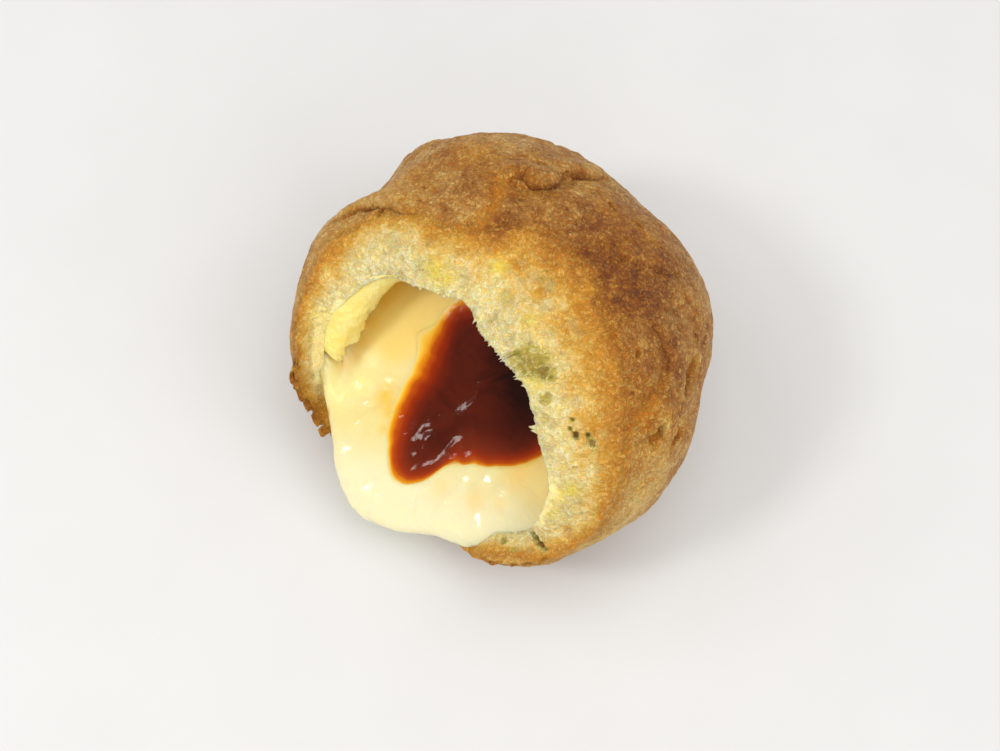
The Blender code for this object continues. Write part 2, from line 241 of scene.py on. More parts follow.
# Soft round lights: name, azimuth and elevation, distance, size, power, colour.
LIGHTS = (
    ("window", WINDOW, WINDOW_DISTANCE, 0.20, 2.3, (1.0, 0.99, 0.97)),
    ("left_soft", (165, 45), 1.1, 0.8, 1.8, (1.0, 0.99, 0.98)),
    ("overhead", (10, 75), 1.3, 1.6, 7.8, (1.0, 1.0, 1.0)),
    ("right_fill", (-25, 38), 1.1, 0.8, 2.4, (1.0, 0.99, 0.98)),
    ("front_fill", (-75, 25), 1.1, 0.6, 1.7, (1.0, 0.99, 0.97)),
)
AIR_COLOUR, AIR_STRENGTH = (1.0, 0.99, 0.975, 1), 0.52
FLOOR_HALF_WIDTH = 1.2
CAMERA_ELEVATION = 68.95
CAMERA_DISTANCE = 306.6 * MM
CAMERA_TARGET = (-0.75 * MM, -1.0 * MM, 13.0 * MM)
CAMERA_LENS, CAMERA_SENSOR_WIDTH = 51.4, 36.0


# ---- Directions, curves and repeatable noise --------------------------------------------------------
def direction(azimuth, elevation):
    """Unit vector at an azimuth from +X towards +Y and an elevation, both in degrees."""
    a, e = math.radians(azimuth), math.radians(elevation)
    return np.array([math.cos(a) * math.cos(e), math.sin(a) * math.cos(e), math.sin(e)])


BELLY = np.array([0.0, 0.0, BELLY_HEIGHT])
BITE_LINE = direction(BITE_AZIMUTH, BITE_ELEVATION)
BITE_RIGHT = direction(BITE_AZIMUTH + 90, 0)
BITE_UP = np.cross(BITE_LINE, BITE_RIGHT)
CAMERA_PLACE = np.array(CAMERA_TARGET) + direction(-90, CAMERA_ELEVATION) * CAMERA_DISTANCE


def metres(rows, *columns):
    """Rows of a table, with the lengths in the given columns turned from mm into metres."""
    return [[value * MM if i in columns else value for i, value in enumerate(row)] for row in rows]


def angle_to(dirs, centre):
    """Angle in degrees between each direction and a centre direction."""
    return np.degrees(np.arccos(np.clip(dirs @ centre, -1.0, 1.0)))


def patch(dirs, azimuth, elevation, spread, power=2):
    """1 at the middle of a patch of directions, falling away over its spread in degrees."""
    return np.exp(-(angle_to(dirs, direction(azimuth, elevation)) / spread) ** power)


def turn_from(turn, place):
    """Angle from a place round a ring to each turn, from -180 to 180 degrees."""
    return (turn - place + 180) % 360 - 180


def smooth_min(a, b, reach):
    """Lower of a and b, rounded where they come within reach of each other."""
    blend = np.maximum(reach - np.abs(a - b), 0.0) / reach
    return np.minimum(a, b) - blend * blend * reach / 4


def smooth_step(x, low, high):
    t = np.clip((x - low) / (high - low), 0.0, 1.0)
    return t * t * (3 - 2 * t)


def curve_between(t, span, a, b, slope_a, slope_b):
    """Smooth curve from a to b over a span, with the slopes given at its ends, read at t from 0 to 1."""
    start = (2 * t**3 - 3 * t**2 + 1) * a + (t**3 - 2 * t**2 + t) * span * slope_a
    end = (3 * t**2 - 2 * t**3) * b + (t**3 - t**2) * span * slope_b
    return start + end


def around(knots, angles):
    """Closed smooth curve through (angle in degrees, value) knots, read at the given angles."""
    at, value = np.array(knots, float).T
    at = np.concatenate([at[-2:] - 360, at, at[:2] + 360])
    value = np.concatenate([value[-2:], value, value[:2]])
    slope = np.gradient(value, at)
    angles = np.mod(angles - at[1], 360) + at[1]
    i = np.clip(np.searchsorted(at, angles, side="right") - 1, 1, len(at) - 3)
    span = at[i + 1] - at[i]
    return curve_between((angles - at[i]) / span, span, value[i], value[i + 1], slope[i], slope[i + 1])


def grid_hash(cell, seed):
    """Repeatable whole number for each whole-number grid cell."""
    x, y, z = (cell[:, i].astype(np.uint32) for i in range(3))
    mixed = (x * np.uint32(73856093)) ^ (y * np.uint32(19349663)) ^ (z * np.uint32(83492791))
    mixed ^= np.uint32((seed * 2654435761) & 0xFFFFFFFF)
    mixed = (mixed ^ (mixed >> np.uint32(13))) * np.uint32(1274126177)
    mixed = (mixed ^ (mixed >> np.uint32(16))) * np.uint32(1103515245)
    return mixed ^ (mixed >> np.uint32(15))


def soft_noise(points, size, seed):
    """Smooth random field from -1 to 1 whose lumps are about size across."""
    spot = points / size
    base = np.floor(spot).astype(np.int32)
    part = (spot - base).astype(np.float32)
    part = part * part * (3 - 2 * part)
    total = np.zeros(len(points), np.float32)
    for corner in itertools.product((0, 1), repeat=3):
        share = [part[:, i] if corner[i] else 1 - part[:, i] for i in range(3)]
        value = (grid_hash(base + np.array(corner, np.int32), seed) & np.uint32(0xFFFFFF)).astype(np.float32)
        total += share[0] * share[1] * share[2] * value
    return total.astype(float) / 0x800000 - 1


def layered_noise(points, size, seed, layers=3):
    """Soft noise with finer, weaker layers added."""
    total = np.zeros(len(points))
    for k in range(layers):
        total += soft_noise(points, size / 2**k, seed + 17 * k) / 2**k
    return total / (2 - 0.5 ** (layers - 1))


def bubbles(points, size, seed):
    """Distance to the nearest bubble middle, in bubble sizes, and that bubble's own number from 0 to 1."""
    spot = (points / size).astype(np.float32)
    base = np.floor(spot).astype(np.int32)
    part = spot - base
    first, tag = np.full(len(points), 9.0, np.float32), np.zeros(len(points), np.float32)
    for corner in itertools.product((-1, 0, 1), repeat=3):
        mixed = grid_hash(base + np.array(corner, np.int32), seed)
        away = np.zeros(len(points), np.float32)
        for i in range(3):
            jitter = ((mixed >> np.uint32(8 * i)) & np.uint32(255)).astype(np.float32) / 255
            away += (part[:, i] - corner[i] - jitter) ** 2
        nearer = away < first
        tag = np.where(nearer, (mixed >> np.uint32(24)).astype(np.float32) / 255, tag)
        first = np.where(nearer, away, first)
    return np.sqrt(first).astype(float), tag.astype(float)


# ---- Mesh helpers -----------------------------------------------------------------------------------
def count(full):
    """An even number of segments or rings for the present fineness."""
    return max(2 * int(round(full * FINE / 2)), 2)


def new_object(name, bm):
    """A new object in the scene from a built mesh."""
    mesh = bpy.data.meshes.new(name)
    bm.to_mesh(mesh)
    bm.free()
    made = bpy.data.objects.new(name, mesh)
    bpy.context.scene.collection.objects.link(made)
    return made


def sphere_piece(name, segments, rings):
    """A unit UV sphere as a new object, with each point's ring number and turn in degrees."""
    bm = bmesh.new()
    bmesh.ops.create_uvsphere(bm, u_segments=segments, v_segments=rings, radius=1.0)
    bmesh.ops.recalc_face_normals(bm, faces=bm.faces)
    piece = new_object(name, bm)
    unit = get_points(piece)
    ring = np.round(np.arccos(np.clip(unit[:, 2], -1, 1)) / math.pi * rings)
    turn = np.degrees(np.arctan2(unit[:, 1], unit[:, 0])) % 360
    return piece, unit, ring, turn


def get_points(piece, what="co"):
    """Places of a piece's points, or their normals."""
    values = np.empty(len(piece.data.vertices) * 3, np.float32)
    piece.data.vertices.foreach_get(what, values)
    return values.reshape(-1, 3).astype(float)


def set_points(piece, points):
    piece.data.vertices.foreach_set("co", points.astype(np.float32).ravel())
    piece.data.update()


def raise_points(piece, points, heights):
    """Points moved out along the piece's normals."""
    return points + get_points(piece, "normal") * heights[:, None]


def set_attributes(piece, **looks):
    """Store one number for each point under each name, for the materials to read."""
    for name, values in looks.items():
        layer = piece.data.attributes.new(name, "FLOAT", "POINT")
        layer.data.foreach_set("value", np.asarray(values, np.float32))


def finish_piece(piece, node, material):
    piece.data.shade_smooth()
    piece.data.materials.append(material)
    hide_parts(node)
    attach(piece, "root")


# ---- Shell ------------------------------------------------------------------------------------------
def plain_crust_radius(dirs):
    """Distance from the belly's middle to the outside of the crust, without its fine relief."""
    drop = np.where(dirs[:, 2] > 0, CROWN_RISE, FOOT_DROP)
    semi = np.stack([np.full(len(dirs), WIDTH / 2), np.full(len(dirs), DEPTH / 2), drop], axis=1)
    radius = 1 / np.linalg.norm(dirs / semi, axis=1)
    for *place, height in metres(SWELLS, 3):
        radius += height * patch(dirs, *place)
    foot = BELLY_HEIGHT / np.maximum(-dirs[:, 2], 1e-3)
    return smooth_min(radius, foot, FOOT_ROUNDING)


def on_plain_crust(azimuth, elevation):
    centre = direction(azimuth, elevation)
    return BELLY + centre * plain_crust_radius(centre[None])[0]


def wall_thickness(dirs):
    return WALL + (FOOT_WALL - WALL) * smooth_step(-dirs[:, 2], 0.5, 0.9)


def bite_direction(round_angle, away_angle):
    """Directions given round and away from the bite's middle line, in degrees."""
    r, a = np.radians(round_angle), np.radians(away_angle)
    side = np.cos(r)[:, None] * BITE_RIGHT + np.sin(r)[:, None] * BITE_UP
    return np.cos(a)[:, None] * BITE_LINE + np.sin(a)[:, None] * side


def bite_angles(dirs):
    """Angles round and away from the bite's middle line, in degrees."""
    round_angle = np.degrees(np.arctan2(dirs @ BITE_UP, dirs @ BITE_RIGHT)) % 360
    return round_angle, angle_to(dirs, BITE_LINE)


def ring_of(round_angle, radius):
    """Points on a circle, so that noise read round the bite closes on itself."""
    r = np.radians(round_angle)
    return np.stack([np.cos(r) * radius, np.sin(r) * radius, np.zeros(len(r))], axis=1)


def beside_path(points, path):
    """Distance across a path on the crust (mm, positive on its bite side), share along it, way across."""
    stops = np.array([on_plain_crust(*p) for p in path])
    nearest, side, along = np.full(len(points), 1.0), np.zeros(len(points)), np.zeros(len(points))
    lead = np.zeros((len(points), 3))
    for k, (a, b) in enumerate(zip(stops, stops[1:])):
        span = b - a
        t = np.clip((points - a) @ span / (span @ span), 0, 1)
        offset = points - a - t[:, None] * span
        gap = np.linalg.norm(offset, axis=1)
        below = np.cross(span, (a + b) / 2 - BELLY)
        below /= np.linalg.norm(below)
        nearer = gap < nearest
        nearest = np.where(nearer, gap, nearest)
        side = np.where(nearer, np.sign(offset @ below), side)
        along = np.where(nearer, (k + t) / (len(stops) - 1), along)
        lead = np.where(nearer[:, None], below, lead)
    return nearest * side / MM, along, lead


def crease_relief(points):
    """Swelling above and step below each fold of the crust, its dark line of painted shade, and the swell's
    overhang.
    """
    relief, shade, push = np.zeros(len(points)), np.zeros(len(points)), np.zeros((len(points), 3))
    for path, step in metres(CREASES, 1):
        across, along, lead = beside_path(points, path)
        across = across + 0.35 * soft_noise(points, 2.5 * MM, 78)
        fade = np.clip(4 * along * (1 - along), 0, 1) ** 0.6
        swell = 0.70 * np.exp(-((across + 2.2) / 2.6) ** 2)
        sink = smooth_step(across, -0.7, 0.15) * np.exp(-np.maximum(across, 0) / 3.2) * 0.80
        relief += step * fade * (swell - sink)
        shade = np.maximum(shade, fade * min(step / (2 * MM), 1) * np.exp(-((across - 0.1) / 0.5) ** 2))
        lip = smooth_step(across, -4.5, -0.9) * (1 - smooth_step(across, -0.2, 0.35))
        push += lead * (0.50 * step * fade * lip)[:, None]
    return relief, shade, push


def groove_relief(points):
    """Depth of the grooves, and how much each point lies in one."""
    depth, inside = np.zeros(len(points)), np.zeros(len(points))
    for path, deep in metres(GROOVES, 1):
        across, along, _ = beside_path(points, path)
        fade = np.clip(4 * along * (1 - along), 0, 1) ** 0.6
        near = fade * np.exp(-((across + 0.8 * soft_noise(points, 2.2 * MM, 79)) / 1.3) ** 2)
        depth += deep * near
        inside = np.maximum(inside, near * deep / (0.9 * MM))
    return depth, inside


def pore_relief(points, dirs):
    """Depth of the open pores and cracks, and how much each point lies inside one."""
    depth, inside, lips = np.zeros(len(points)), np.zeros(len(points)), np.zeros(len(points))
    wobble = 1 + 0.25 * soft_noise(points, 1.1 * MM, 77)
    for azimuth, elevation, half_length, half_width, tilt, deep in metres(PORES, 2, 3, 5):
        centre = direction(azimuth, elevation)
        spot = on_plain_crust(azimuth, elevation)
        east = direction(azimuth + 90, 0)
        north = np.cross(centre, east)
        t = math.radians(tilt)
        along = (points - spot) @ (east * math.cos(t) + north * math.sin(t)) / half_length
        across = (points - spot) @ (north * math.cos(t) - east * math.sin(t)) / half_width
        gap = (along**2 + across**2) * wobble
        here = dirs @ centre > 0.8
        near = np.exp(-(gap**2.4)) * here
        lip = np.exp(-(((np.sqrt(gap) - 1.35) / 0.30) ** 2)) * here
        depth += deep * near - min(0.25 * deep, 0.35 * MM) * lip
        inside = np.maximum(inside, near)
        lips = np.maximum(lips, lip)
    return depth, inside, lips


def crust_shape(points, dirs):
    """Lumps, creases and pores of the crust, and how much each point lies in a crease or pore, as painted
    shade and as orange.
    """
    lumps = 0.60 * MM * layered_noise(points, 12 * MM, 21, 2)
    lumps += 0.34 * MM * layered_noise(points, 5 * MM, 22, 2)
    lumps -= 0.35 * MM * np.exp(-(np.abs(layered_noise(points, 8 * MM, 23, 2)) / 0.07) ** 2)
    crease, crease_shade, push = crease_relief(points)
    grooves, in_groove = groove_relief(points)
    pores, in_pore, pore_lips = pore_relief(points, dirs)
    above_foot = smooth_step(points[:, 2], 0.6 * MM, 4 * MM)
    # Painted shade: darker along the crease lines and inside the pores, lighter on the pores' raised lips.
    dips = {"dark": np.maximum(crease_shade, 1.1 * in_pore) - 0.45 * pore_lips,
            "orange": np.maximum(in_groove, 0.7 * in_pore)}
    return (lumps + crease - grooves - pores) * above_foot, dips, push


def torn_edges(turn):
    """Where the crumb ends at the hollow, how it is torn there, where the crust ends and its tears."""
    teeth = ring_of(turn, 30.0)
    smooth_left = smooth_step(turn, 140, 152) * smooth_step(-turn, -206, -194)
    ragged = 1.3 * layered_noise(teeth, 6.0, 11, 2) + 1.3 * np.abs(layered_noise(teeth, 1.6, 12, 3)) - 0.3
    maker = np.random.default_rng(5)
    nicks = [maker.uniform(low, high, 26) for low, high in ((0, 145), (0.6, 1.5), (0.4, 1.8))]
    for place, width, length in zip(*nicks):
        ragged -= length * np.clip(1 - np.abs(turn_from(turn, place)) / width, 0, 1)
    tear = 1.0 + 1.4 * layered_noise(teeth, 4.0, 14, 3) + 0.9 * soft_noise(teeth, 0.9, 15)
    return (around(CRUMB_EDGE, turn), ragged * (1 - 0.85 * smooth_left),
            around(CRUST_EDGE, turn), np.clip(tear, -1.2, 3.4))


def shell_looks(piece, points, dirs, from_rim, dips):
    """Attributes that the baked material reads: distance from the rim, browning with the painted shade of
    creases and pores added, and orange.
    """
    for *place, reach in BROWNED_RIM:
        from_rim = from_rim + reach * patch(dirs, *place, power=4)
    browning = np.full(len(points), PLAIN_BROWNING)
    for *place, amount in BROWNING:
        browning += amount * patch(dirs, *place)
    browning += 0.10 * layered_noise(points, 9 * MM, 61)
    set_attributes(piece, from_rim=from_rim, browning=browning + 0.36 * dips["dark"], orange=dips["orange"])


def make_crust(material):
    """Brown skin of the puff, a closed thin layer that ends at a torn rim."""
    under, rim, outer = count(CRUST_UNDER_RINGS), count(CRUST_RIM_RINGS), count(CRUST_OUTER_RINGS)
    piece, _, ring, turn = sphere_piece("choux_crust", count(CRUST_SEGMENTS), under + rim + outer)
    # more segments where the folds of the head are
    turn = np.mod(turn - math.degrees(0.45) * np.sin(np.radians(turn - 100)), 360)
    _, _, crust_edge, tear = torn_edges(turn)
    edge = crust_edge + tear
    below = np.clip(1 - ring / under, 0, 1)
    over = np.clip((ring - under) / rim, 0, 1)
    beyond = np.clip((ring - under - rim) / outer, 0, 1)
    away = edge + (180 - edge) * np.where(ring < under, below**1.7, beyond**1.2)
    dirs = bite_direction(turn, away)
    inset = (RIM_SKIN + (SKIN - RIM_SKIN) * smooth_step(away - crust_edge, 4, 9)) * (1 - over)
    inset += RIM_DROP * np.exp(-(np.maximum(away - edge, 0) / 1.5) ** 2)
    radius = plain_crust_radius(dirs)
    points = BELLY + dirs * radius[:, None]
    shape, dips, push = crust_shape(points, dirs)
    points = BELLY + dirs * (radius + shape - inset)[:, None] + push * over[:, None]
    set_points(piece, points)

    grain, _ = bubbles(points, 1.3 * MM, 33)
    relief = 0.16 * MM * layered_noise(points, 2.2 * MM, 31, 2) + 0.16 * MM * (0.5 - np.minimum(grain, 1))
    relief *= smooth_step(points[:, 2], 0.3 * MM, 2 * MM) * over
    points = raise_points(piece, points, relief)
    points[:, 2] = np.maximum(points[:, 2], 0)
    points[:, 2] = np.where((points[:, 2] < 0.3 * MM) & (over == 1), 0.0, points[:, 2])
    set_points(piece, points)
    shell_looks(piece, points, dirs, (away - crust_edge) * RIM_MM_PER_DEGREE, dips)
    set_attributes(piece, relief=relief / MM)
    finish_piece(piece, "choux_shell", material)


def torn_face_inset(dirs, across):
    """Depth of the torn face below the crust, from the wall's thickness at the hollow to nothing."""
    return wall_thickness(dirs) * (1 - across) ** 0.9


def torn_place(turn, across):
    """Places on the torn face."""
    edge = around(CRUMB_EDGE, turn)
    away = edge + (around(CRUST_EDGE, turn) - edge) * across
    dirs = bite_direction(turn, away)
    return BELLY + dirs * (plain_crust_radius(dirs) - torn_face_inset(dirs, across))[:, None]


def torn_spot(turn, across):
    """Middle of one place on the torn face."""
    return torn_place(np.array([float(turn)]), across)[0]


def crumb_relief(points):
    """Height of the torn crumb: soft lumps, torn bubbles and grains."""
    bend = np.stack([soft_noise(points, 1.6 * MM, 43 + k) for k in range(3)], axis=1)
    bent = points + 0.45 * MM * bend
    lumps = 0.55 * MM * layered_noise(points, 6 * MM, 41, 2)
    lumps += 0.22 * MM * layered_noise(points, 2.0 * MM, 42, 2)
    big, big_tag = bubbles(bent, 3.2 * MM, 46)
    small, small_tag = bubbles(bent, 1.4 * MM, 51)
    grain, _ = bubbles(points, 0.62 * MM, 56)
    open_big = smooth_step(-big, -0.50, -0.26) * (big_tag > 0.45) * (0.5 + 0.5 * big_tag)
    open_small = smooth_step(-small, -0.50, -0.15) * (small_tag > 0.35)
    relief = lumps - 0.38 * MM * open_big - 0.26 * MM * open_small
    return relief + 0.16 * MM * (0.6 - np.minimum(grain, 1)), np.maximum(open_big, 0.45 * open_small)


def make_crumb(material):
    """Torn crumb and the hollow's lining, a closed wall under the brown skin."""
    lining, torn, covered = count(LINING_RINGS), count(TORN_RINGS), count(COVERED_RINGS)
    piece, _, ring, turn = sphere_piece("choux_crumb", count(CRUMB_SEGMENTS), lining + torn + covered)
    crumb_edge, ragged, crust_edge, _ = torn_edges(turn)
    up_wall = 1 - (1 - np.clip(ring / lining, 0, 1)) ** 2.2
    across = np.clip((ring - lining) / torn, 0, 1)
    beyond = np.clip((ring - lining - torn) / covered, 0, 1)
    away = 180 + (crumb_edge + ragged - 180) * up_wall
    away += (crust_edge - crumb_edge) * across - ragged * (1 - (1 - across) ** 7) * (ring >= lining)
    away += (180 - crust_edge) * beyond**2
    dirs = bite_direction(turn, away)
    radius = plain_crust_radius(dirs)
    shape, dips, _ = crust_shape(BELLY + dirs * radius[:, None], dirs)
    inset = torn_face_inset(dirs, across) + 0.12 * MM * across
    inset += LINING_DROP * smooth_step(away - crumb_edge - ragged, 0, 7) * (ring < lining)
    inset += COVERED_DROP * smooth_step(away - crust_edge, 3, 13) * (beyond > 0)
    points = BELLY + dirs * (radius - inset + shape * smooth_step(across, 0.5, 1.0))[:, None]
    set_points(piece, points)

    relief, open_bubbles = crumb_relief(points)
    inside, yellow = np.zeros(len(points)), np.zeros(len(points))
    web = 0.5 + 0.5 * np.abs(soft_noise(points, 0.9 * MM, 72))
    for *place, half_width, depth, dark in metres(CRUMB_HOLES, 2, 3):
        away_from = np.linalg.norm(points - torn_spot(*place), axis=1) / half_width
        near = np.exp(-(away_from * (0.95 + 0.45 * soft_noise(points, half_width * 0.9, 73))) ** 4)
        relief -= depth * near * web
        inside = np.maximum(inside, dark * near)
    for *place, half_width in metres(YELLOW_PLACES, 2):
        away_from = np.linalg.norm(points - torn_spot(*place), axis=1) / half_width
        yellow = np.maximum(yellow, np.exp(-away_from**2))
    near_hollow = smooth_step(across, 0.0, 0.05) * (ring >= lining)
    calm = 1 - 0.55 * smooth_step(across, 0.5, 0.9)
    relief = relief * near_hollow * calm * (1 - smooth_step(away - crust_edge, 2, 5) * (beyond > 0))
    points = raise_points(piece, points, relief)
    points[:, 2] = np.maximum(points[:, 2], 0.5 * MM)
    set_points(piece, points)

    from_rim = np.where(beyond > 0, (away - crust_edge) * RIM_MM_PER_DEGREE, -(1 - across) * CRUMB_BAND)
    dips = {kind: amount * (beyond > 0) for kind, amount in dips.items()}
    shell_looks(piece, points, dirs, from_rim, dips)
    soaked = np.zeros(len(points))
    for place, spread, reach in SOAKED_PLACES:
        beside = turn_from(turn, place) / spread
        edge = reach + 0.12 * soft_noise(points, 2.2 * MM, 74)
        soaked = np.maximum(soaked, np.exp(-(beside**4)) * smooth_step(edge - across, 0.0, 0.14))
    set_attributes(piece, relief=relief / MM, hole=inside * near_hollow, yellow=yellow,
                   open_bubble=open_bubbles * near_hollow * (1 - smooth_step(across, 0.6, 0.95)),
                   soaked=soaked * (ring >= lining),
                   lining=(ring < lining) * smooth_step(away - crumb_edge, 2, 9))
    finish_piece(piece, "choux_shell", material)


def path_through(stops, t):
    """Smooth curve through evenly numbered stops, read at t from 0 to 1."""
    stops = np.array(stops, float)
    place = np.clip(t, 0, 1) * (len(stops) - 1)
    i = np.clip(place.astype(int), 0, len(stops) - 2)
    u = (place - i)[:, None]
    slope = np.gradient(stops, axis=0)
    return curve_between(u, 1.0, stops[i], stops[i + 1], slope[i], slope[i + 1])


def make_inner_skin(material):
    """Thin torn skin that hangs in the hollow on the left."""
    piece, unit, _, _ = sphere_piece("inner_skin", count(INNER_SKIN_SEGMENTS), count(INNER_SKIN_RINGS))
    # the sphere is flattened to a sheet: x runs along it, y hangs down, z is its thickness
    flat = np.clip(unit / np.max(np.abs(unit[:, :2]), axis=1).clip(0.72, 1)[:, None], -1, 1)
    along, hang = (flat[:, 0] + 1) / 2, (flat[:, 1] + 1) / 2
    top = torn_place(SKIN_RIDGE[0] + (SKIN_RIDGE[1] - SKIN_RIDGE[0]) * along, 0.03)
    torn = path_through(SKIN_TORN_EDGE, along) * MM
    ragged = ring_of(along * 200, 5.0)
    tear = 0.22 * np.abs(soft_noise(ragged, 2.0, 64)) + 0.26 * np.abs(soft_noise(ragged, 0.55, 65))
    reach = hang * (1.10 - tear * smooth_step(hang, 0.3, 1.0))
    facing = np.cross(torn - top, np.array(SKIN_TORN_EDGE[-1]) - np.array(SKIN_TORN_EDGE[0]))
    facing /= np.linalg.norm(facing, axis=1)[:, None]
    bulge = (1.1 * np.sin(np.pi * reach) - 0.55 * (1 - reach) ** 3) * MM
    sheet = top + (torn - top) * reach[:, None]
    crumple = 0.34 * MM * soft_noise(sheet, 3.0 * MM, 66) + 0.22 * MM * layered_noise(sheet, 1.3 * MM, 67, 2)
    thick = 0.42 * MM * unit[:, 2]
    points = sheet + facing * (bulge + crumple + thick)[:, None]
    set_points(piece, points)
    finish_piece(piece, "choux_shell", material)


def make_flakes(material):
    """Small torn flakes of crust that stand up along the lips of the bite."""
    maker = np.random.default_rng(23)
    shapes = []
    for first, last, low, high, number, largest in metres(FLAKE_PLACES, 5):
        for turn in np.linspace(first, last, number) + maker.uniform(-1, 1, number):
            away = around(CRUST_EDGE, np.array([turn]))[0] + maker.uniform(low, high)
            out = bite_direction(np.array([turn]), np.array([away]))[0]
            spot = BELLY + out * (plain_crust_radius(out[None])[0] - 0.2 * MM)
            round_way = np.cross(BITE_LINE, out)
            round_way /= np.linalg.norm(round_way)
            bite_way = np.cross(round_way, out)
            lean = math.radians(maker.uniform(-5, 45))
            tall = out * math.sin(lean) - bite_way * math.cos(lean)
            size = largest * maker.uniform(0.35, 1.0)
            shapes.append((spot, round_way * size * maker.uniform(0.6, 1.3), tall * size,
                           np.cross(round_way, tall) * 0.22 * MM))
    bm = bmesh.new()
    for _ in shapes:
        bmesh.ops.create_icosphere(bm, subdivisions=3, radius=1.0)
    bmesh.ops.recalc_face_normals(bm, faces=bm.faces)
    piece = new_object("torn_flakes", bm)
    unit = get_points(piece).reshape(len(shapes), -1, 3)
    points = []
    for k, (spot, wide, tall, thick) in enumerate(shapes):
        shift = np.array([k * 7.0, k * 3.0, 0])
        bent = unit[k] * (1 + 0.75 * layered_noise(unit[k] + shift, 0.7, 93, 3))[:, None]
        bent[:, 2] += 0.8 * soft_noise(unit[k] * np.array([1, 1, 0.2]) + shift, 0.8, 95)
        points.append(spot + bent[:, :1] * wide + bent[:, 1:2] * tall + bent[:, 2:] * thick)
    points = np.concatenate(points)
    set_points(piece, points)
    set_attributes(piece, from_rim=1.0 + 3 * soft_noise(points, 2 * MM, 97),
                   browning=0.34 + 0.25 * soft_noise(points, 3 * MM, 98))
    finish_piece(piece, "choux_shell", material)


# ---- Custard ----------------------------------------------------------------------------------------
def front_share(x, y):
    """0 on the smooth custard inside the puff, 1 on the stirred, wet custard at the front."""
    return smooth_step(-(0.62 * x + 0.78 * y), 15 * MM, 24 * MM)


def custard_plane(x, y):
    return CUSTARD_MIDDLE_HEIGHT + CUSTARD_SLOPE[0] * x + CUSTARD_SLOPE[1] * y


def custard_depth(points):
    """Positive inside the custard, negative outside, zero on its surface."""
    offset = points - BELLY
    reach = np.linalg.norm(offset, axis=1)
    dirs = offset / reach[:, None]
    round_angle, away_angle = bite_angles(dirs)
    spill = around(SPILL, np.degrees(np.arctan2(dirs[:, 1], dirs[:, 0]))) * MM
    walled = smooth_step(away_angle - around(CRUMB_EDGE, round_angle), -6, 6)
    outline = np.maximum(spill, spill * (1 - walled) - CUSTARD_UNDER_WALL * walled)
    limit = plain_crust_radius(dirs) + outline
    rounding = CUSTARD_ROUNDING * (1 - walled) + CUSTARD_WALL_ROUNDING * walled
    inside = smooth_min(limit - reach, custard_plane(points[:, 0], points[:, 1]) - points[:, 2], rounding)
    return smooth_min(inside, points[:, 2] - SPILL_LOW, SPILL_LOW)


def bump_field(x, y, bumps):
    """Sum of rounded bumps given by x, y, half width and height, in the height's own unit."""
    total = np.zeros(len(x))
    for bump_x, bump_y, half_width, height in metres(bumps, 0, 1, 2):
        gap = np.hypot(x - bump_x, y - bump_y) / half_width
        total += height * np.exp(-gap**2)
    return total


def glint_slope(spot):
    """Slopes along x and y of a wet flat that throws the window's light to the camera."""
    to_window = BELLY + direction(*WINDOW) * WINDOW_DISTANCE - spot
    to_camera = CAMERA_PLACE - spot
    half_way = to_window / np.linalg.norm(to_window) + to_camera / np.linalg.norm(to_camera)
    return -half_way[0] / half_way[2], -half_way[1] / half_way[2]


def level_flats(points, flats, wrinkle):
    """Press small wet flats of one slope into the top of a surface."""
    for x, y, half_width in metres(flats, 0, 1, 2):
        dx, dy = points[:, 0] - x, points[:, 1] - y
        gap = np.hypot(dx, dy)
        near = points[gap <= max(0.7 * MM, gap.min()), 2]
        middle = near[near > near.max() - 1.0 * MM].mean()
        ragged = gap / half_width * (1 + 0.35 * soft_noise(points, 0.8 * half_width, 87))
        slope_x, slope_y = glint_slope(np.array([x, y, middle]))
        flat = middle + slope_x * dx + slope_y * dy
        flat += wrinkle * soft_noise(points, 1.0 * MM, 88) * min(half_width / MM, 1.5)
        share = np.exp(-ragged**4) * (np.abs(points[:, 2] - flat) < 2.5 * MM)
        points[:, 2] += share * (flat - points[:, 2])
    return points


def stirred_relief(points):
    """Lumps, smears and bumps of the wet custard at the front."""
    smear = points @ np.array([[0.8, -0.6, 0], [0.6, 0.8, 0], [0, 0, 1]]) * np.array([1.0, 2.4, 1.6])
    folds = np.abs(layered_noise(smear, 9 * MM, 85, 2))
    relief = 0.8 * MM * layered_noise(points, 8 * MM, 82, 2)
    relief += 0.25 * MM * layered_noise(points, 3 * MM, 83, 2)
    return relief - 0.25 * MM * np.exp(-(folds / 0.08) ** 2)


